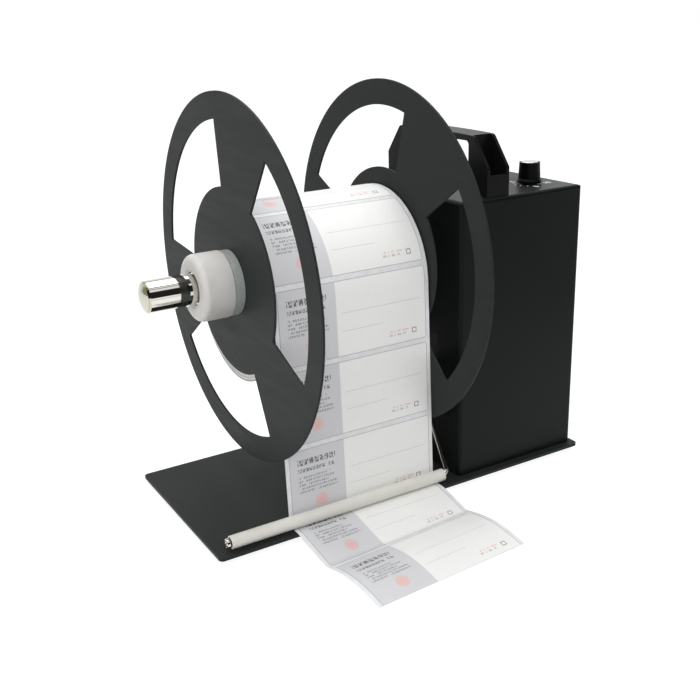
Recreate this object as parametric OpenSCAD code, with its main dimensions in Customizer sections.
// Desk-top label rewinding machine: a motor in a folded steel housing turns a
// cantilevered spindle with two flanges, and a hinged guide roller leads the web.
// +X points from the spindle's nose to the housing, -Y to the user, +Z up.
// The origin is on the desk, under the middle of the whole outline.

/* [Base plate] */
// Length of the base plate, along the spindle
base_len = 271; // [262:1:300]
// Depth of the base plate
base_depth = 126.5; // [124:0.5:150]
// Thickness of the base plate
base_t = 2; // [1.5:0.1:4]
// Radius of the base plate's corners
base_corner_r = 3; // [1:0.5:6]
// Distance from the spindle axis forward to the base plate's front edge
base_front = 65.5; // [64.5:0.5:75]
// How far the base plate sticks out past the housing's right side
base_lip = 2.5; // [1:0.5:12]
// Diameter of the rubber feet
foot_d = 16; // [12:1:22]
// Height of the rubber feet
foot_h = 4; // [3:0.5:8]
// Distance from the base plate's edges to the feet's centres
foot_inset = 17; // [14:1:22]

/* [Housing] */
// Width of the housing, along the spindle
housing_w = 97; // [96:1:112]
// Depth of the housing
housing_d = 118; // [116:1:120]
// Height of the housing's top above the spindle axis
housing_over = 40.5; // [38.5:0.5:60]
// Distance from the base plate's front edge back to the housing
housing_setback = 5.4; // [4:0.2:6.4]
// Thickness of the sheet steel
sheet_t = 1.5; // [1:0.1:2]
// Outside radius of the housing's bends
bend_r = 3; // [2:0.5:6]
// Width of the flanges folded inward at the housing's open sides
fold_w = 10; // [8:1:14]
// Gap around the side cover in its opening
cover_gap = 0.3; // [0.2:0.1:0.8]

/* [Spindle and flanges] */
// Diameter of the spindle outside the housing
shaft_d = 19; // [16:0.5:22]
// Diameter of the spindle's journals in the bearings
journal_d = 17; // [17:1:17]
// Height of the spindle axis above the base plate
shaft_h = 139.5; // [137:0.5:141]
// Diameter of the two flanges
flange_d = 220; // [200:1:230]
// Thickness of the flanges
flange_t = 1.5; // [1:0.1:3]
// Inner radius of the flange windows
window_r_in = 56.3; // [54:0.5:62]
// Outer radius of the flange windows
window_r_out = 94.5; // [86:0.5:96]
// Angle between two windows, which is the width of a spoke
spoke_angle = 40.5; // [25:0.5:60]
// Turn of the inner flange's first window from the back horizontal
inner_turn = 65.2; // [0:1:119]
// Turn of the outer flange's first window from the back horizontal
outer_turn = 44.9; // [0:1:119]
// Distance from the inner flange to the housing
flange_gap = 14.4; // [14:0.2:20]
// Length of the spindle left bare beyond the lock nut
nose_len = 31.5; // [20:0.5:50]
// Height of the spindle nose's dome
nose_dome = 3; // [1:0.5:5]

/* [Lock nut] */
// Diameter of the white lock nut
nut_d = 40; // [36:0.5:48]
// Length of the lock nut
nut_len = 19.6; // [19:0.2:26]
// Diameter of the collet's collar behind the nut
collar_d = 39.2; // [34:0.2:46]
// Length of the collet's collar
collar_len = 5.6; // [3:0.2:8]
// Diameter of the collet's sleeve inside the nut
sleeve_d = 26; // [25:0.5:28]

/* [Label roll] */
// Width of the label web
web_w = 105; // [60:1:115]
// Thickness of the web, liner and label together
web_t = 0.3; // [0.2:0.05:0.5]
// Gap from the roll to each flange
side_gap = 0.85; // [0.3:0.05:2]
// Outside diameter of the wound roll
roll_d = 107; // [80:1:112]
// Bore of the cardboard core
core_bore = 38.1; // [38:0.1:40]
// Wall of the cardboard core
core_wall = 3; // [2:0.5:5]
// Angle by which the hanging roll leans back from straight below the spindle
hang_angle = 24; // [0:1:40]
// Length of web lying in front of the base plate
strip_len = 80; // [50:1:120]
// Height of the arch in the last label
arch_h = 4; // [1:0.5:8]

/* [Tension arm] */
// Diameter of the bent wire
wire_d = 3.2; // [2.5:0.1:4]
// Diameter of the guide roller
roller_d = 8; // [7:0.5:10]
// Distance from the base plate's left edge to the guide roller's left end
roller_margin = 9.4; // [8:0.2:40]
// Distance from the guide roller's axis forward of the spindle axis
roller_front = 59; // [58:0.5:60]
// Distance from the arm's pivot forward of the spindle axis
pivot_front = 24; // [20:0.5:28]
// Height of the arm's pivot above the base plate
pivot_h = 65; // [60:0.5:70]
// Distance from the arm's wire to the housing
arm_gap = 8.5; // [8:0.1:9]
// Diameter of the pivot shaft
pivot_d = 8; // [6:0.5:9]

/* [Carry handle] */
// Length of the handle, front to back
handle_len = 108; // [100:1:112]
// Width of the handle
handle_w = 17; // [15:0.5:24]
// Height of the handle at its crown
handle_h = 36.3; // [34.3:0.5:48.3]
// Distance from the housing's left face to the handle
handle_x = 21.2; // [15:0.2:30]
// Distance from the housing's front face to the handle
handle_y = 2.3; // [2:0.1:8]
// Wall of the moulded handle
handle_wall = 2.2; // [1.5:0.1:3]

/* [Speed knob] */
// Diameter of the knob's skirt
skirt_d = 16.4; // [15:0.2:22]
// Height of the knob's skirt
skirt_h = 2.4; // [1.5:0.1:4]
// Diameter of the knob's body at its foot
knob_d = 14.4; // [13.6:0.2:15]
// Diameter of the knob's cap
knob_cap_d = 12.6; // [11.6:0.2:13.2]
// Height of the whole knob
knob_h = 13; // [12.5:0.5:20]
// Distance from the housing's left face to the knob's axis
knob_x = 73.5; // [66:0.5:76]
// Distance from the housing's front face to the knob's axis
knob_y = 24.4; // [18:0.4:40]

/* [Drive] */
// Module of the spur gears
gear_m = 1; // [1:1:1]
// Teeth of the gear on the spindle
gear_teeth = 64; // [60:1:68]
// Teeth of the motor's pinion
pinion_teeth = 24; // [22:1:28]
// Width of the gears
gear_w = 8; // [6:0.5:9]
// Angle of the motor below the spindle's back horizontal
motor_angle = 47; // [40:1:60]
// Diameter of the gear motor
motor_d = 37; // [32:1:37]
// Length of the gear motor's gearbox
gearbox_len = 22; // [16:1:24]
// Gap from the motor's end to the side cover
motor_gap = 2; // [1:0.5:8]
// Distance from the housing's left face to the drive plate
plate_x = 46; // [44:1:48]
// Thickness of the drive plate
plate_t = 2; // [1.5:0.1:3]
// Diameter of the pillars that carry the drive plate
pillar_d = 8; // [6:0.5:9]

/* [Bearings] */
// Outside diameter of the spindle bearings
bearing_d = 35; // [32:1:36]
// Width of the spindle bearings
bearing_w = 10; // [8:1:10]
// Diameter of the bearing housings' flanges
block_d = 56; // [52:1:58]

/* [Controls] */
// Length of the circuit board, along the spindle
board_w = 60; // [50:1:70]
// Depth of the circuit board
board_d = 70; // [60:1:80]
// Height of the board's standoffs
board_lift = 8; // [5:1:12]
// Height of the power inlet and switch above the base plate
inlet_h = 62; // [50:1:80]
// Diameter of the power inlet's barrel
inlet_d = 8; // [8:0.5:12]
// Width of the switch's bezel
switch_w = 21; // [18:0.5:26]
// Height of the switch's bezel
switch_h = 15; // [13:0.5:20]

/* [Hidden] */
$fn = 64;

// Screws and set screws
housing_screw_d = 4;
cover_screw_d = 3;
pillar_screw_d = 3;
board_screw_d = 3;
grub_d = 4;

// Clearances
run_gap = 0.05;   // a shaft turning or sliding in its bore, all round
fit_gap = 0.02;   // a pin, spigot or screw held in its hole, all round
touch_gap = 0.3;  // soft or printed pieces beside a moving face
eps = 0.01;       // overrun of a cut past a face
pillar_hole_d = pillar_screw_d + 2 * fit_gap;
pillar_screw_len = 12;
wall_screw_len = 14;

// Heights above the desk
housing_h = shaft_h + housing_over;
base_top = foot_h + base_t;
axis_z = base_top + shaft_h;
housing_top = base_top + housing_h;
pivot_z = base_top + pivot_h;

// Places along the spindle, from the housing's left face
inner_flange_x = -flange_gap - flange_t;
web_x1 = inner_flange_x - side_gap;
web_x0 = web_x1 - web_w;
outer_flange_x = web_x0 - side_gap - flange_t;
collar_x = outer_flange_x - collar_len;
nut_x = collar_x - nut_len;
nose_x = nut_x - nose_len;
groove_x = nut_x - 0.2;
base_x1 = housing_w + base_lip;
base_x0 = base_x1 - base_len;
cover_x = housing_w - sheet_t;
screw_x = 14.5;

// Places front to back, from the spindle axis
base_y0 = -base_front;
base_y1 = base_y0 + base_depth;
housing_y0 = base_y0 + housing_setback;
housing_y1 = housing_y0 + housing_d;

// Bearings, drive plate and gears along the spindle
block_len = bearing_w + 3;
block_flange = 4;
rear_block_x = plate_x - block_len;
front_gear_x = sheet_t + block_len + 2;
gear_hub_x = front_gear_x + gear_w;
gear_hub_len = rear_block_x - gear_hub_x - 1;
shaft_end_x = plate_x + plate_t + 2;
circlip_t = 1;
circlip_x = plate_x + 0.3;
shaft_holes_d = 24;
spigot_d = 30;
hub_d = 44;
hub_len = 9;

// Gear pair
gear_r = gear_m * gear_teeth / 2;
pinion_r = gear_m * pinion_teeth / 2;
gear_centres = gear_r + pinion_r;
motor_y = gear_centres * cos(motor_angle);
motor_z = axis_z - gear_centres * sin(motor_angle);
pinion_shaft_d = 6;
plate_y0 = -gear_r - pillar_d / 2 - 4;
plate_y1 = motor_y + motor_d / 2 + 5;
plate_z0 = motor_z - motor_d / 2 - 5;
plate_z1 = axis_z + block_d / 2 + 1;
pillar_inset = 5.5;
motor_boss_d = 12;
motor_boss_len = 5;
motor_pcd = motor_d - 6;
can_boss_d = 10;
can_boss_len = 1.2;
can_len = cover_x - cover_gap - motor_gap - can_boss_len - plate_x - plate_t - gearbox_len;
backlash = 0.2;
pressure = 20;

// Label roll and web
web_gap = 0.15;
hang = (core_bore - shaft_d) / 2 - run_gap;
roll_y = hang * sin(hang_angle);
roll_z = axis_z - hang * cos(hang_angle);
roller_z = base_top + 2 * web_gap + web_t + roller_d / 2;
roller_y = -roller_front;
strip_end_y = base_y0 - strip_len;
web_top_r = roll_d / 2 + touch_gap + web_t / 2;
web_bend_r = roller_d / 2 + web_gap + web_t / 2;
centre_gap = norm([roll_y - roller_y, roll_z - roller_z]);
centre_angle = atan2(roll_z - roller_z, roll_y - roller_y);
cross_angle = acos((web_top_r + web_bend_r) / centre_gap);
leave_angle = centre_angle + 180 - cross_angle;
edge_y = base_y0 - 0.5;
edge_z = roller_z - web_bend_r;
desk_z = web_t / 2 + 0.1;
kink_y = base_y0 - strip_len * 0.34;

// Tension arm
arm_x = -arm_gap;
roller_x1 = arm_x - wire_d / 2 - 2;
roller_x0 = base_x0 + roller_margin;
wire_bend_r = 3.4;
clip_len = 2.4;
clip_d = 6;
arm_angle = atan2(pivot_z - roller_z, -pivot_front - roller_y);
arm_len = norm([pivot_z - roller_z, -pivot_front - roller_y]);
arm_boss_d = 14;
arm_boss_len = 8;
bush_d = 14;
bush_flange_d = 19;
bush_flange_t = 1.6;
bush_len = 12;
flag_x = 19;
flag_t = 1;
flag_r = 13;
pivot_end_x = flag_x + 4;

// Handle, knob, board, inlet and switch
handle_y0 = housing_y0 + handle_y;
handle_foot_h = handle_h * 0.475;
handle_slope = handle_h * 0.4;
handle_shoulder = handle_h - 0.6;
handle_foot_r = 2;
handle_crown_r = 4;
handle_leg = 18.8;
handle_lip = 4.4;
handle_floor = 6;
finger_h = handle_h - 4;
finger_r = 2.5;
handle_screw_d = 4;
handle_screw_y = handle_wall + 8;
knob_lift = 1;
knob_y0 = housing_y0 + knob_y;
pot_thread_d = 7;
pot_shaft_d = 6;
board_x = 52;
board_y = -2;
board_t = 1.6;
inlet_x = 64;
switch_x = 36;
controls_z = base_top + inlet_h;
rocker_angle = 8;
rocker_l = switch_w - 6;
rocker_h = switch_h - 5;
rocker_pin_d = 2;

// The whole outline's middle
origin_x = -(nose_x + base_x1) / 2;
origin_y = -(strip_end_y + max(base_y1, flange_d / 2)) / 2;

// Moves a piece from the spindle's places to the shared origin
module place() {
    translate([origin_x, origin_y, 0]) children();
}

// Stands a drawing of the YZ plane at a place along X, to be thickened toward +X
module facing_x(x, y = 0, z = 0) {
    translate([x, y, z]) rotate([90, 0, 90]) children();
}

// Stands a drawing of the XZ plane at a place along Y, to be thickened toward -Y
module facing_y(x, y, z) {
    translate([x, y, z]) rotate([90, 0, 0]) children();
}

// Rectangle with rounded corners, from its lower left corner
module rounded_rect(w, h, r) {
    translate([r, 0]) square([w - 2 * r, h]);
    translate([0, r]) square([w, h - 2 * r]);
    for (x = [r, w - r], y = [r, h - r]) translate([x, y]) circle(r);
}

// Box with bent upright edges and bent top edges
module folded_box(x, y, z, w, d, h, r) {
    intersection() {
        translate([x, y, z]) linear_extrude(h) rounded_rect(w, d, r);
        facing_x(x - eps, y, z - 2 * r) linear_extrude(w + 2 * eps) rounded_rect(d, h + 2 * r, r);
        facing_y(x, y + d + eps, z - 2 * r) linear_extrude(d + 2 * eps)
            rounded_rect(w, h + 2 * r, r);
    }
}

// Round hole or pin along X
module rod_x(x0, x1, y, z, d) {
    facing_x(x0, y, z) cylinder(h = x1 - x0, d = d);
}

// Points of an arc, counted from a0 to a1
function arc(cx, cy, r, a0, a1, n) =
    [for (i = [0:n]) let (a = a0 + (a1 - a0) * i / n) [cx + r * cos(a), cy + r * sin(a)]];

// Countersunk screw pointing toward -Z, with its head's top at z = 0
module countersunk(d, len) {
    translate([0, 0, -d / 2]) cylinder(h = d / 2, d1 = d, d2 = 2 * d);
    translate([0, 0, -len]) cylinder(h = len - d / 2 + eps, d = d);
}

// Pan-head screw pointing toward -Z, with its seat at z = 0
module pan_screw(d, len) {
    difference() {
        cylinder(h = 0.6 * d, d = 1.9 * d);
        translate([0, 0, 0.3 * d]) cylinder(h = d, d = 0.9 * d, $fn = 6);
    }
    translate([0, 0, -len]) cylinder(h = len + eps, d = d);
}

// Places of the four feet
module at_feet() {
    for (x = [base_x0 + foot_inset, base_x1 - foot_inset])
        for (y = [base_y0 + foot_inset, base_y1 - foot_inset]) translate([x, y, 0]) children();
}

module base_plate() {
    color("#3b3e3d") place() difference() {
        translate([base_x0, base_y0, foot_h]) linear_extrude(base_t)
            rounded_rect(base_len, base_depth, base_corner_r);
        at_housing_screws() translate([0, 0, foot_h - eps])
            cylinder(h = base_t + 1, d = housing_screw_d + 2 * fit_gap);
        board_posts() translate([0, 0, foot_h - eps])
            cylinder(h = base_t + 1, d = board_screw_d + 2 * fit_gap);
    }
}

// Stick-on feet, drawn in toward the desk
module rubber_feet() {
    color("#1c1c1c") place() at_feet() rotate_extrude() polygon(concat(
        [[0, 0]],
        arc(foot_d / 2 - 2, 1, 1, -90, -15, 4),
        [[foot_d / 2, foot_h - 0.6], [foot_d / 2, foot_h], [0, foot_h]]));
}

// Screws under the base plate, in the housing's bottom folds
module at_housing_screws() {
    edge = sheet_t + fold_w / 2;
    for (x = [screw_x, housing_w * 0.6])
        for (y = [housing_y0 + edge, housing_y1 - edge]) translate([x, y, 0]) children();
}

module housing_screws() {
    color("#4a4a4a") place() at_housing_screws() translate([0, 0, foot_h]) mirror([0, 0, 1])
        pan_screw(housing_screw_d, base_t + sheet_t + 3);
}

// Frame folded inward behind the side cover
module cover_frame() {
    x = cover_x - cover_gap - sheet_t;
    y = housing_y0 + sheet_t / 2;
    d = housing_d - sheet_t;
    h = housing_h - sheet_t / 2;
    difference() {
        translate([x, y, base_top]) cube([sheet_t, d, h]);
        translate([x - 1, y + fold_w + sheet_t, base_top - 1])
            cube([sheet_t + 2, d - 2 * fold_w - 2 * sheet_t, h - fold_w - sheet_t + 1]);
    }
}

// Floor folds that carry the housing on the base plate
module floor_folds() {
    w = fold_w + sheet_t;
    for (y = [housing_y0 + sheet_t / 2, housing_y1 - sheet_t / 2 - w])
        translate([sheet_t / 2, y, base_top]) cube([cover_x - cover_gap - sheet_t, w, sheet_t]);
}

module housing() {
    t = sheet_t;
    color("#1d2422") place() difference() {
        union() {
            difference() {
                folded_box(0, housing_y0, base_top, housing_w, housing_d, housing_h, bend_r);
                folded_box(t, housing_y0 + t, base_top - bend_r, housing_w - 2 * t, housing_d - 2 * t,
                    housing_h - t + bend_r, bend_r - t + 0.3);
                translate([housing_w / 2, housing_y0 + t, base_top - 1])
                    cube([housing_w, housing_d - 2 * t, housing_h - t + 1]);
            }
            intersection() {
                folded_box(0, housing_y0, base_top, housing_w, housing_d, housing_h, bend_r);
                union() {
                    cover_frame();
                    floor_folds();
                }
            }
        }
        rod_x(-1, t + 1, 0, axis_z, shaft_holes_d);
        rod_x(-1, t + 1, -pivot_front, pivot_z, bush_d + 2 * fit_gap);
        at_pillars() rod_x(-1, t + 1, 0, 0, pillar_hole_d);
        at_pillars() facing_x(-eps)
            cylinder(h = pillar_screw_d / 2 + fit_gap, d1 = 2 * pillar_hole_d, d2 = pillar_hole_d);
        at_handle_screws() translate([0, 0, housing_top - t - 1])
            cylinder(h = t + 2, d = handle_screw_d + 2 * fit_gap);
        at_knob() translate([0, 0, housing_top - t - 1])
            cylinder(h = t + 2, d = pot_thread_d + 2 * fit_gap);
        at_inlet() cylinder(h = 3 * t, d = inlet_d + 2 * fit_gap, center = true);
        at_switch() translate([-switch_w / 2 + 1, -switch_h / 2 + 1, -2 * t])
            cube([switch_w - 2, switch_h - 2, 4 * t]);
        at_housing_screws() cylinder(h = base_top + t + 1, d = housing_screw_d + 2 * fit_gap);
        at_cover_screws() translate([0, 0, -2 * t - cover_gap - 1])
            cylinder(h = 2 * t + 2, d = cover_screw_d + 2 * fit_gap);
    }
}

// Screws round the side cover, pointing into the housing
module at_cover_screws() {
    edge = sheet_t + fold_w / 2 + 0.5;
    for (y = [housing_y0 + edge, housing_y1 - edge])
        for (z = [base_top + 14, base_top + housing_h / 2, housing_top - edge])
            facing_x(cover_x + sheet_t - cover_gap, y, z) children();
}

module side_cover() {
    g = sheet_t + cover_gap;
    color("#1d2422") place() difference() {
        translate([cover_x - cover_gap, housing_y0 + g, base_top + cover_gap])
            cube([sheet_t, housing_d - 2 * g, housing_h - g - cover_gap]);
        at_cover_screws() translate([0, 0, -sheet_t - 1])
            cylinder(h = sheet_t + 2, d = cover_screw_d + 2 * fit_gap);
    }
}

module side_cover_screws() {
    color("#2a2a2a") place() at_cover_screws() pan_screw(cover_screw_d, 2 * sheet_t + 2);
}

// Points that round the corner p between its neighbours a and b
function round_corner(a, p, b, r, n = 6) = let (
    u = unit(a - p),
    v = unit(b - p),
    half = acos(u * v) / 2,
    c = p + unit(u + v) * r / sin(half),
    s = p + u * r / tan(half) - c,
    e = p + v * r / tan(half) - c)
    [for (i = [0:n]) c + r * unit(s * (1 - i / n) + e * i / n)];

// Outline of the bridge handle seen from the side
module handle_side() {
    r = finger_r;
    l = handle_len;
    crown = handle_h - handle_shoulder;
    half = l / 2 - handle_slope;
    crown_r = (half * half + crown * crown) / (2 * crown);
    sweep = asin(half / crown_r);
    top = arc(l / 2, handle_h - crown_r, crown_r, 90 + sweep, 90 - sweep, 16);
    front = concat(
        round_corner([0, 0], [0, handle_foot_h], top[0], handle_foot_r),
        round_corner([0, handle_foot_h], top[0], top[1], handle_crown_r));
    polygon(concat(
        [[0, 0]],
        front,
        [for (i = [1:15]) top[i]],
        [for (i = [len(front) - 1:-1:0]) [l - front[i][0], front[i][1]]],
        [[l, 0], [l - handle_leg, 0]],
        arc(l - handle_leg - r, finger_h - r, r, 0, 90, 6),
        arc(handle_leg + r, finger_h - r, r, 90, 180, 6),
        [[handle_leg, 0]]));
}

// Pocket in one leg, open along its slope, where a screw goes down
module handle_pocket() {
    w = handle_w - 2 * handle_wall;
    translate([handle_wall, handle_wall, handle_floor])
        cube([w, handle_leg - 2 * handle_wall, handle_h]);
    translate([handle_wall, -1, handle_foot_h - handle_lip])
        cube([w, handle_leg - handle_wall, handle_h]);
    translate([handle_w / 2, handle_screw_y, -1])
        cylinder(h = handle_floor + 2, d = handle_screw_d + 2 * fit_gap);
}

// The places of the handle's two screws on the housing's top
module at_handle_screws() {
    for (y = [handle_screw_y, handle_len - handle_screw_y])
        translate([handle_x + handle_w / 2, handle_y0 + y, 0]) children();
}

module carry_handle() {
    color("#161616") place() translate([handle_x, handle_y0, housing_top]) difference() {
        facing_x(0) linear_extrude(handle_w) handle_side();
        handle_pocket();
        translate([0, handle_len, 0]) mirror([0, 1, 0]) handle_pocket();
    }
}

module handle_screws() {
    color("#5a5a5a") place() at_handle_screws() translate([0, 0, housing_top + handle_floor])
        pan_screw(handle_screw_d, handle_floor + sheet_t + 5);
}

module handle_nuts() {
    h = 0.8 * handle_screw_d;
    color("#8a8a8a") place() at_handle_screws() translate([0, 0, housing_top - sheet_t - h])
        difference() {
            cylinder(h = h, d = 2 * handle_screw_d, $fn = 6);
            translate([0, 0, -1]) cylinder(h = h + 2, d = handle_screw_d + 2 * fit_gap);
        }
}

// Flanged bearing housing: its flange is at x = 0, and the bearing's pocket opens there
module bearing_block() {
    facing_x(0, 0, axis_z) difference() {
        union() {
            cylinder(h = block_flange, d = block_d);
            cylinder(h = block_len, d = bearing_d + 8);
        }
        translate([0, 0, -1]) cylinder(h = bearing_w + 1, d = bearing_d + 2 * fit_gap);
        translate([0, 0, -1]) cylinder(h = block_len + 2, d = shaft_holes_d);
    }
}

// Deep groove ball bearing: two rings, shields and a journal's bore, from x = 0
module ball_bearing() {
    facing_x(0, 0, axis_z) difference() {
        cylinder(h = bearing_w, d = bearing_d);
        translate([0, 0, -1]) cylinder(h = bearing_w + 2, d = journal_d + 2 * run_gap);
        for (z = [-1, bearing_w - 0.6]) translate([0, 0, z]) difference() {
            cylinder(h = 1.6, d = bearing_d - 5);
            translate([0, 0, -1]) cylinder(h = 4, d = journal_d + 5);
        }
    }
}

module front_bearing_block() {
    color("#8c9092") place() translate([sheet_t, 0, 0]) bearing_block();
}

module front_bearing() {
    color("#b9bcbe") place() translate([sheet_t, 0, 0]) ball_bearing();
}

module rear_bearing_block() {
    color("#8c9092") place() translate([plate_x, 0, 0]) mirror([1, 0, 0]) bearing_block();
}

module rear_bearing() {
    color("#b9bcbe") place() translate([plate_x, 0, 0]) mirror([1, 0, 0]) ball_bearing();
}

// Places of the four pillars between the housing's wall and the drive plate
module at_pillars() {
    for (y = [plate_y0 + pillar_inset, plate_y1 - pillar_inset])
        for (z = [plate_z0 + pillar_inset, plate_z1 - pillar_inset]) translate([0, y, z]) children();
}

module drive_plate() {
    color("#9a9ea0") place() difference() {
        facing_x(plate_x, plate_y0, plate_z0) linear_extrude(plate_t)
            rounded_rect(plate_y1 - plate_y0, plate_z1 - plate_z0, pillar_inset);
        rod_x(plate_x - 1, plate_x + plate_t + 1, 0, axis_z, shaft_holes_d);
        rod_x(plate_x - 1, plate_x + plate_t + 1, motor_y, motor_z, motor_boss_d + 2 * fit_gap);
        at_pillars() rod_x(plate_x - 1, plate_x + plate_t + 1, 0, 0, pillar_hole_d);
        at_motor_screws() rod_x(plate_x - 1, plate_x + plate_t + 1, 0, 0, pillar_hole_d);
    }
}

module drive_pillars() {
    color("#c9a14a") place() at_pillars() difference() {
        rod_x(sheet_t, plate_x, 0, 0, pillar_d);
        rod_x(sheet_t - 1, plate_x + 1, 0, 0, pillar_hole_d);
    }
}

module pillar_screws() {
    color("#2a2a2a") place() at_pillars() {
        rotate([0, -90, 0]) countersunk(pillar_screw_d, wall_screw_len);
        translate([plate_x + plate_t, 0, 0]) rotate([0, 90, 0]) pan_screw(pillar_screw_d, pillar_screw_len);
    }
}

// Screws through the drive plate into the gearbox's face
module at_motor_screws() {
    for (i = [0:3]) let (a = motor_angle + 90 * i + 45)
        translate([0, motor_y + motor_pcd / 2 * cos(a), motor_z + motor_pcd / 2 * sin(a)]) children();
}

module motor_screws() {
    color("#2a2a2a") place() at_motor_screws() translate([plate_x, 0, 0]) rotate([0, -90, 0])
        pan_screw(pillar_screw_d, plate_t + 4);
}

module gearbox() {
    x = plate_x + plate_t;
    color("#a4a6a8") place() difference() {
        union() {
            rod_x(x, x + gearbox_len, motor_y, motor_z, motor_d);
            rod_x(x - motor_boss_len, x + 1, motor_y, motor_z, motor_boss_d);
        }
        rod_x(x - motor_boss_len - 1, x + gearbox_len - 3, motor_y, motor_z,
            pinion_shaft_d + 2 * run_gap);
        at_motor_screws() rod_x(x - 1, x + 5, 0, 0, pillar_hole_d);
    }
}

module motor_can() {
    x = plate_x + plate_t + gearbox_len;
    color("#75787a") place() {
        rod_x(x, x + can_len, motor_y, motor_z, motor_d - 2);
        rod_x(x + can_len - eps, x + can_len + can_boss_len, motor_y, motor_z, can_boss_d);
    }
}

// Half of a tooth's angle at a radius, for an involute on a base circle
function roll_angle(r, rb) = let (a = acos(min(1, rb / r))) tan(a) * 180 / PI - a;
function half_tooth(r, rp, z) = let (rb = rp * cos(pressure))
    90 / z - backlash / 4 / rp * 180 / PI + roll_angle(rp, rb) - roll_angle(r, rb);
function polar(r, a) = [r * cos(a), r * sin(a)];

// Outline of an involute spur gear with a tooth centred on its first axis
function gear_outline(z) = let (
    rp = gear_m * z / 2,
    rb = rp * cos(pressure),
    ro = rp + gear_m,
    rr = rp - 1.25 * gear_m,
    rs = max(rb, rr),
    steps = 3)
    [for (i = [0:z - 1]) let (c = 360 * i / z) each concat(
        [polar(rr, c - half_tooth(rs, rp, z))],
        [for (k = [0:steps]) let (r = rs + (ro - rs) * k / steps)
            polar(r, c - half_tooth(r, rp, z))],
        [for (k = [steps:-1:0]) let (r = rs + (ro - rs) * k / steps)
            polar(r, c + half_tooth(r, rp, z))],
        [polar(rr, c + half_tooth(rs, rp, z))])];

// A tooth of the drive gear points at the pinion, where the pinion has a gap
module drive_gear() {
    color("#d9d4c4") place() facing_x(front_gear_x, 0, axis_z) difference() {
        union() {
            rotate([0, 0, -motor_angle]) linear_extrude(gear_w) polygon(gear_outline(gear_teeth));
            cylinder(h = gear_w + gear_hub_len, d = journal_d + 13);
        }
        translate([0, 0, -1]) cylinder(h = gear_w + gear_hub_len + 2, d = journal_d + 2 * fit_gap);
        for (i = [0:5]) rotate([0, 0, 60 * i]) translate([gear_r * 0.7, 0, -1])
            cylinder(h = gear_w + 2, d = gear_r * 0.28);
        translate([0, 0, gear_w + gear_hub_len / 2]) rotate([0, 90, 0])
            cylinder(h = journal_d, d = grub_d + 2 * fit_gap);
    }
}

module motor_pinion() {
    x = front_gear_x - 0.5;
    color("#b98a4a") place() facing_x(x, motor_y, motor_z) {
        difference() {
            rotate([0, 0, 180 - motor_angle + 180 / pinion_teeth]) linear_extrude(gear_w + 1)
                polygon(gear_outline(pinion_teeth));
            translate([0, 0, -1]) cylinder(h = gear_w + 3, d = pinion_shaft_d);
        }
        translate([0, 0, gear_w + 1 - eps]) cylinder(h = 5, d = pinion_r + 3);
        cylinder(h = plate_x + plate_t + gearbox_len - 4 - x, d = pinion_shaft_d);
    }
}

module board_posts() {
    for (x = [-1, 1], y = [-1, 1])
        translate([board_x + x * (board_w / 2 - 4), board_y + y * (board_d / 2 - 4), 0]) children();
}

module board_standoffs() {
    color("#c9a14a") place() board_posts() {
        translate([0, 0, base_top]) cylinder(h = board_lift, d = 6);
        translate([0, 0, foot_h + 0.2]) cylinder(h = base_t + board_lift + board_t + 2, d = board_screw_d);
    }
}

module control_board() {
    color("#2c6b45") place() difference() {
        translate([board_x - board_w / 2, board_y - board_d / 2, base_top + board_lift])
            cube([board_w, board_d, board_t]);
        board_posts() translate([0, 0, base_top])
            cylinder(h = board_lift + 5, d = board_screw_d + 2 * fit_gap);
    }
}

// Heat sink, capacitors, driver chip, relay and terminal block on the board
module board_parts() {
    z = base_top + board_lift + board_t;
    color("#5f6366") place() translate([board_x, board_y, z]) {
        translate([-board_w / 2 + 3, -12, 0]) cube([16, 26, 3]);
        for (i = [0:4]) translate([-board_w / 2 + 3 + 3.5 * i, -12, 3 - eps]) cube([1.6, 26, 12]);
        for (y = [-20, -6]) translate([4, y, 0]) cylinder(h = 16, d = 10);
        translate([12, 4, 0]) cube([10, 12, 9]);
        translate([-8, 20, 0]) cube([22, 8, 10]);
        translate([-4, 6, 0]) cube([8, 8, 2]);
    }
}

// The knob's axis on the housing's top
module at_knob() {
    translate([knob_x, knob_y0, 0]) children();
}

module speed_potentiometer() {
    z = housing_top - sheet_t;
    color("#4d5a66") place() at_knob() difference() {
        union() {
            translate([0, 0, z - 9]) cylinder(h = 9, d = 16.5);
            translate([0, 0, z - eps]) cylinder(h = sheet_t + 4, d = pot_thread_d);
            translate([-5.5, -13, z - 7]) cube([11, 8, 1.5]);
        }
        translate([0, 0, z - 8]) cylinder(h = 20, d = pot_shaft_d + 2 * run_gap);
    }
}

module potentiometer_nut() {
    color("#b0b2b4") place() at_knob() translate([0, 0, housing_top]) difference() {
        cylinder(h = 2, d = 11, $fn = 6);
        translate([0, 0, -1]) cylinder(h = 4, d = pot_thread_d + 2 * fit_gap);
    }
}

module potentiometer_spindle() {
    color("#d8d8d8") place() at_knob() difference() {
        translate([0, 0, housing_top - sheet_t - 7.5]) cylinder(h = 18, d = pot_shaft_d);
        translate([pot_shaft_d / 2 - 1.2, -5, housing_top + 5]) cube([5, 10, 20]);
    }
}

// Fluted outline of the knob's grip: each flute has two points on its rib and two in its valley
function fluted(r, n, depth) = [for (i = [0:4 * n - 1]) let (k = i % 4)
    polar(k < 2 ? r : r - depth, 90 * (i + (k % 2 == 0 ? -0.2 : 0.2)) / n)];

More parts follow.
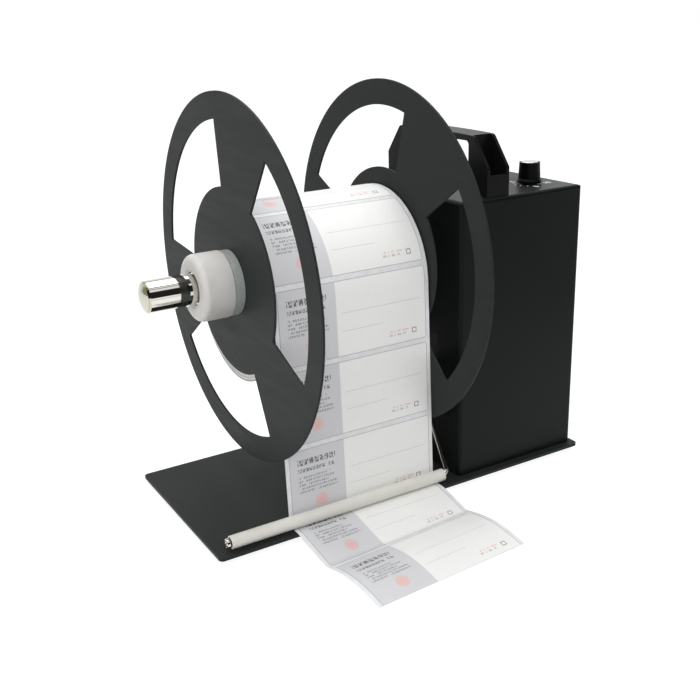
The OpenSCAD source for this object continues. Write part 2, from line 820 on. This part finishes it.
module speed_knob() {
    recess_z = knob_h - 1.6;
    color("#151515") place() at_knob() translate([0, 0, housing_top + knob_lift]) difference() {
        union() {
            rotate_extrude() polygon([[0, 0], [skirt_d / 2 - 0.3, 0], [skirt_d / 2, 0.4],
                [skirt_d / 2 - 0.3, skirt_h * 0.6], [knob_d / 2, skirt_h], [0, skirt_h]]);
            intersection() {
                translate([0, 0, skirt_h / 2]) linear_extrude(knob_h - skirt_h / 2)
                    polygon(fluted(knob_d / 2, 24, 0.4));
                cylinder(h = knob_h, d1 = knob_d, d2 = knob_cap_d + 0.6);
            }
        }
        translate([0, 0, recess_z]) cylinder(h = 3, d = knob_cap_d - 1.2);
        translate([0, 0, -1]) cylinder(h = 5.6, d = 11.6);
        difference() {
            translate([0, 0, -1]) cylinder(h = knob_h - 2.5, d = pot_shaft_d + 2 * fit_gap);
            translate([pot_shaft_d / 2 - 1.1, -5, 4.6]) cube([5, 10, 20]);
        }
    }
}

module knob_cap() {
    r = knob_cap_d / 2 - 0.6 - fit_gap;
    color("#9c9c9c") place() at_knob() translate([0, 0, housing_top + knob_lift + knob_h - 1.6])
        rotate_extrude() polygon([[0, 0], [r, 0], [r, 1.5], [r - 0.6, 2], [0, 2]]);
}

// Power inlet's and switch's places on the housing's back, looking out of it
module at_inlet() {
    translate([inlet_x, housing_y1 - sheet_t / 2, controls_z]) rotate([-90, 0, 0]) children();
}

module at_switch() {
    translate([switch_x, housing_y1 - sheet_t / 2, controls_z]) rotate([-90, 0, 0]) children();
}

module power_inlet() {
    color("#202020") place() at_inlet() difference() {
        union() {
            translate([0, 0, sheet_t / 2]) cylinder(h = 2, d = inlet_d + 4);
            translate([0, 0, -14]) cylinder(h = 14 + sheet_t, d = inlet_d);
        }
        difference() {
            translate([0, 0, -8]) cylinder(h = 20, d = 5.6);
            translate([0, 0, -9]) cylinder(h = 10, d = 2);
        }
    }
}

module inlet_nut() {
    color("#b0b2b4") place() at_inlet() difference() {
        translate([0, 0, -sheet_t / 2 - 2.5]) cylinder(h = 2.5, d = inlet_d + 4, $fn = 6);
        translate([0, 0, -9]) cylinder(h = 12, d = inlet_d + 2 * fit_gap);
    }
}

module switch_body() {
    color("#1b1b1b") place() at_switch() difference() {
        union() {
            translate([-switch_w / 2, -switch_h / 2, sheet_t / 2]) cube([switch_w, switch_h, 2]);
            translate([-switch_w / 2 + 1.1, -switch_h / 2 + 1.1, -13])
                cube([switch_w - 2.2, switch_h - 2.2, 13 + sheet_t]);
            for (x = [-5, 0, 5]) translate([x - 0.4, -2.4, -19]) cube([0.8, 4.8, 7]);
        }
        translate([-rocker_l / 2 - 0.4, -rocker_h / 2 - 0.4, -8])
            cube([rocker_l + 0.8, rocker_h + 0.8, 20]);
        rotate([90, 0, 0])
            cylinder(h = rocker_h + 2, d = rocker_pin_d + 2 * run_gap, center = true);
    }
}

// Rocker tilted at rest, with its pivot pins in the body's side walls
module switch_rocker() {
    half = rocker_l / 2;
    color("#242424") place() at_switch() rotate([0, -rocker_angle, 0]) {
        rotate([90, 0, 0]) linear_extrude(rocker_h, center = true) polygon(concat(
            [[half, -3], [half, 2.4], [half - 0.4, 2.8]],
            arc(0, 2.8 + half * 1.6, half * 1.82, -58, -122, 8),
            [[0.4 - half, 2.8], [-half, 2.4], [-half, -3], [-2, -5], [2, -5]]));
        rotate([90, 0, 0]) cylinder(h = rocker_h + 1.6, d = rocker_pin_d, center = true);
    }
}

// One window of a flange: a sector between two radii
module window(a) {
    half = (120 - spoke_angle) / 2;
    intersection() {
        difference() {
            circle(window_r_out, $fn = 180);
            circle(window_r_in, $fn = 180);
        }
        polygon([[0, 0], polar(flange_d, a - half), polar(flange_d, a), polar(flange_d, a + half)]);
    }
}

// Flange with three windows, whose spokes widen toward the rim
module flange(x, turn, bore) {
    facing_x(x, 0, axis_z) linear_extrude(flange_t) difference() {
        circle(flange_d / 2, $fn = 180);
        for (i = [0:2]) window(turn + 120 * i);
        circle(bore / 2);
    }
}

module inner_flange() {
    color("#2f3232") place() flange(inner_flange_x, inner_turn, spigot_d + 2 * fit_gap);
}

module outer_flange() {
    color("#3f4241") place() flange(outer_flange_x, outer_turn, spigot_d + 2 * fit_gap);
}

module inner_hub() {
    color("#6f7375") place() facing_x(inner_flange_x, 0, axis_z) difference() {
        union() {
            cylinder(h = flange_t + eps, d = spigot_d);
            translate([0, 0, flange_t]) cylinder(h = hub_len, d = hub_d);
        }
        translate([0, 0, -1]) cylinder(h = hub_len + flange_t + 2, d = shaft_d + 2 * fit_gap);
        for (a = [0, 90]) rotate([0, 0, a]) translate([0, 0, flange_t + hub_len / 2]) rotate([0, 90, 0])
            cylinder(h = hub_d, d = grub_d + 2 * fit_gap);
    }
}

// Socket set screws in the inner hub and in the gear's hub
module grub_screws() {
    color("#3a3a3a") place() {
        for (a = [0, 90]) facing_x(inner_flange_x + flange_t + hub_len / 2, 0, axis_z) rotate([0, 0, a])
            translate([shaft_d / 2 + 0.1, 0, 0]) rotate([0, 90, 0]) grub(hub_d / 2 - shaft_d / 2 - 1);
        facing_x(gear_hub_x + gear_hub_len / 2, 0, axis_z)
            translate([journal_d / 2 + 0.1, 0, 0]) rotate([0, 90, 0]) grub(5);
    }
}

module grub(len) {
    difference() {
        cylinder(h = len, d = grub_d);
        translate([0, 0, len - 2]) cylinder(h = 3, d = 2.3, $fn = 6);
    }
}

// Spindle: domed nose, ring groove before the nut's mouth, shoulder and journal with a circlip groove
module spindle_shaft() {
    r = shaft_d / 2;
    j = journal_d / 2;
    dome_r = (r * r + nose_dome * nose_dome) / (2 * nose_dome);
    dome_sweep = asin((r - 1) / dome_r);
    color("#c8cacb") place() facing_x(0, 0, axis_z) rotate_extrude() polygon(concat(
        arc(0, nose_x + dome_r, dome_r, -90, -90 + dome_sweep, 6),
        [[r, nose_x + nose_dome + 0.6], [r, groove_x], [r - 0.8, groove_x], [r - 0.8, groove_x + 2],
         [r, groove_x + 2], [r, sheet_t], [j, sheet_t], [j, circlip_x], [j - 0.8, circlip_x],
         [j - 0.8, circlip_x + circlip_t + 0.1], [j, circlip_x + circlip_t + 0.1], [j, shaft_end_x],
         [0, shaft_end_x]]));
}

module shaft_circlip() {
    color("#3a3a3a") place() facing_x(circlip_x + 0.05, 0, axis_z) difference() {
        cylinder(h = circlip_t, d = journal_d + 4.5);
        translate([0, 0, -1]) cylinder(h = 3, d = journal_d - 1.4);
        translate([0, -2.5, -1]) cube([journal_d, 5, 3]);
    }
}

// Collet: collar against the outer flange, spigot in its hole and a split sleeve in the nut
module lock_collet() {
    sleeve_len = nut_len - 4;
    color("#b5bdb8") place() facing_x(collar_x, 0, axis_z) difference() {
        union() {
            cylinder(h = collar_len, d = collar_d);
            cylinder(h = collar_len + flange_t, d = spigot_d);
            translate([0, 0, -sleeve_len]) cylinder(h = sleeve_len + 1, d = sleeve_d);
        }
        translate([0, 0, -nut_len])
            cylinder(h = nut_len + collar_len + flange_t + 1, d = shaft_d + 2 * run_gap);
        for (a = [0, 60, 120]) rotate([0, 0, a]) translate([-sleeve_d, -0.75, -sleeve_len - 1])
            cube([2 * sleeve_d, 1.5, sleeve_len - 1]);
    }
}

module lock_nut() {
    r = nut_d / 2;
    bore = sleeve_d / 2 + run_gap;
    c = 2;
    color("#d5d3d0") place() facing_x(nut_x, 0, axis_z) rotate_extrude() polygon(concat(
        [[shaft_d / 2 + 0.4, 0]],
        arc(r - c, c, c, -90, 0, 6),
        [[r, nut_len - 0.8], [r - 0.8, nut_len - fit_gap], [bore, nut_len - fit_gap],
         [bore, 3.6], [shaft_d / 2 + 0.4, 3.6]]));
}

// Cardboard core hanging on the spindle
module roll_core() {
    color("#b08c62") place() facing_x(web_x0, roll_y, roll_z) difference() {
        cylinder(h = web_w, d = core_bore + 2 * core_wall);
        translate([0, 0, -1]) cylinder(h = web_w + 2, d = core_bore);
    }
}

module label_roll() {
    color("#e4e4e4") place() facing_x(web_x0, roll_y, roll_z) difference() {
        cylinder(h = web_w, d = roll_d, $fn = 180);
        translate([0, 0, -1]) cylinder(h = web_w + 2, d = core_bore + 2 * core_wall + 2 * fit_gap);
    }
}

// Path of the web's middle plane: the last turn round the roll, then from the roll's front down
// behind the guide roller, under it, over the base plate's front edge and out along the desk
web_path = concat(
    arc(roll_y, roll_z, web_top_r, leave_angle - 340, leave_angle, 68),
    arc(roller_y, roller_z, web_bend_r, leave_angle - 180, -90, 12),
    [[edge_y, edge_z]],
    [for (i = [1:8]) let (s = i / 8)
        [edge_y + (kink_y - edge_y) * s, desk_z + (edge_z - desk_z) * (1 - s) * (1 + s * 0.25)]],
    [for (i = [1:16]) let (s = i / 16)
        [kink_y + (strip_end_y - kink_y) * s, desk_z + arch_h * sin(180 * s)]]);

// Points beside a path, half a thickness away
function unit(v) = v / norm(v);
function beside(path, k, off) = let (
    a = path[max(k - 1, 0)],
    b = path[min(k + 1, len(path) - 1)],
    d = unit(b - a)) path[k] + off * [-d[1], d[0]];

module label_web() {
    n = len(web_path) - 1;
    color("#d8d9da") place() facing_x(web_x0) linear_extrude(web_w) polygon(concat(
        [for (k = [0:n]) beside(web_path, k, web_t / 2)],
        [for (k = [n:-1:0]) beside(web_path, k, -web_t / 2)]));
}

// Wire bent to a roller axle and an arm whose end sits in the boss
module tension_arm() {
    straight = arm_len - wire_bend_r - pivot_d / 2 - touch_gap;
    color("#c4c6c8") place() translate([arm_x, roller_y, roller_z]) rotate([arm_angle - 90, 0, 0]) {
        translate([roller_x0 - clip_len - 1 - arm_x, 0, 0]) rotate([0, 90, 0])
            cylinder(h = arm_x - wire_bend_r - roller_x0 + clip_len + 1, d = wire_d);
        translate([-wire_bend_r, 0, wire_bend_r]) rotate([90, 0, 0]) rotate_extrude(angle = 90, start = -90)
            translate([wire_bend_r, 0]) circle(d = wire_d);
        translate([0, 0, wire_bend_r]) cylinder(h = straight, d = wire_d);
    }
}

module arm_boss() {
    color("#b4b6b8") place() difference() {
        rod_x(arm_x - arm_boss_len / 2, arm_x + arm_boss_len / 2, -pivot_front, pivot_z, arm_boss_d);
        rod_x(arm_x - arm_boss_len, arm_x + arm_boss_len, -pivot_front, pivot_z, pivot_d + 2 * fit_gap);
        translate([arm_x, roller_y, roller_z]) rotate([arm_angle - 90, 0, 0])
            cylinder(h = arm_len - pivot_d / 2, d = wire_d + 2 * fit_gap);
    }
}

module pivot_shaft() {
    color("#c4c6c8") place()
        rod_x(arm_x - arm_boss_len / 2 + 0.5, pivot_end_x, -pivot_front, pivot_z, pivot_d);
}

module pivot_bush() {
    color("#d9d9d4") place() difference() {
        union() {
            rod_x(-bush_flange_t, 0, -pivot_front, pivot_z, bush_flange_d);
            rod_x(-eps, bush_len, -pivot_front, pivot_z, bush_d);
        }
        rod_x(-bush_flange_t - 1, bush_len + 1, -pivot_front, pivot_z, pivot_d + 2 * run_gap);
    }
}

// Sector on the pivot shaft that the slotted sensor reads
module sensor_flag() {
    color("#2b2b2b") place() facing_x(flag_x, -pivot_front, pivot_z) difference() {
        union() {
            cylinder(h = 3.5, d = pivot_d + 5);
            intersection() {
                cylinder(h = flag_t, r = flag_r);
                linear_extrude(flag_t) polygon([[0, 0], polar(2 * flag_r, 230), polar(2 * flag_r, 260),
                    polar(2 * flag_r, 310)]);
            }
        }
        translate([0, 0, -1]) cylinder(h = 6, d = pivot_d + 2 * fit_gap);
    }
}

// Slotted light barrier on a foot screwed to the housing's left wall
module arm_sensor() {
    y = -pivot_front - 6;
    z = pivot_z - flag_r - 5;
    gap = 3;
    x = flag_x + flag_t / 2;
    color("#303436") place() difference() {
        union() {
            translate([sheet_t, y, z]) cube([x + gap / 2 + 3 - sheet_t, 12, 4]);
            translate([x - gap / 2 - 3, y, z]) cube([gap + 6, 12, 11]);
            translate([sheet_t, y, z - 6]) cube([2, 12, 10]);
        }
        translate([x - gap / 2, y - 1, z + 4]) cube([gap, 14, 10]);
    }
}

module roller_clip() {
    color("#a9abad") place() difference() {
        rod_x(roller_x0 - clip_len - 0.4, roller_x0 - 0.4, roller_y, roller_z, clip_d);
        rod_x(roller_x0 - clip_len - 1, roller_x0, roller_y, roller_z, wire_d + 2 * fit_gap);
    }
}

module guide_roller() {
    color("#dcdad4") place() difference() {
        rod_x(roller_x0, roller_x1, roller_y, roller_z, roller_d);
        rod_x(roller_x0 - 1, roller_x1 + 1, roller_y, roller_z, wire_d + 2 * run_gap);
    }
}

base_plate();
rubber_feet();
housing();
side_cover();
side_cover_screws();
housing_screws();
carry_handle();
handle_screws();
handle_nuts();
front_bearing_block();
front_bearing();
rear_bearing_block();
rear_bearing();
drive_plate();
drive_pillars();
pillar_screws();
gearbox();
motor_can();
motor_screws();
board_standoffs();
control_board();
board_parts();
speed_potentiometer();
potentiometer_nut();
power_inlet();
inlet_nut();
switch_body();
pivot_bush();
arm_sensor();
label_web();
spindle_shaft();
inner_flange();
inner_hub();
grub_screws();
drive_gear();
shaft_circlip();
outer_flange();
lock_collet();
lock_nut();
roll_core();
label_roll();
motor_pinion();
tension_arm();
arm_boss();
pivot_shaft();
sensor_flag();
roller_clip();
guide_roller();
speed_knob();
knob_cap();
potentiometer_spindle();
switch_rocker();
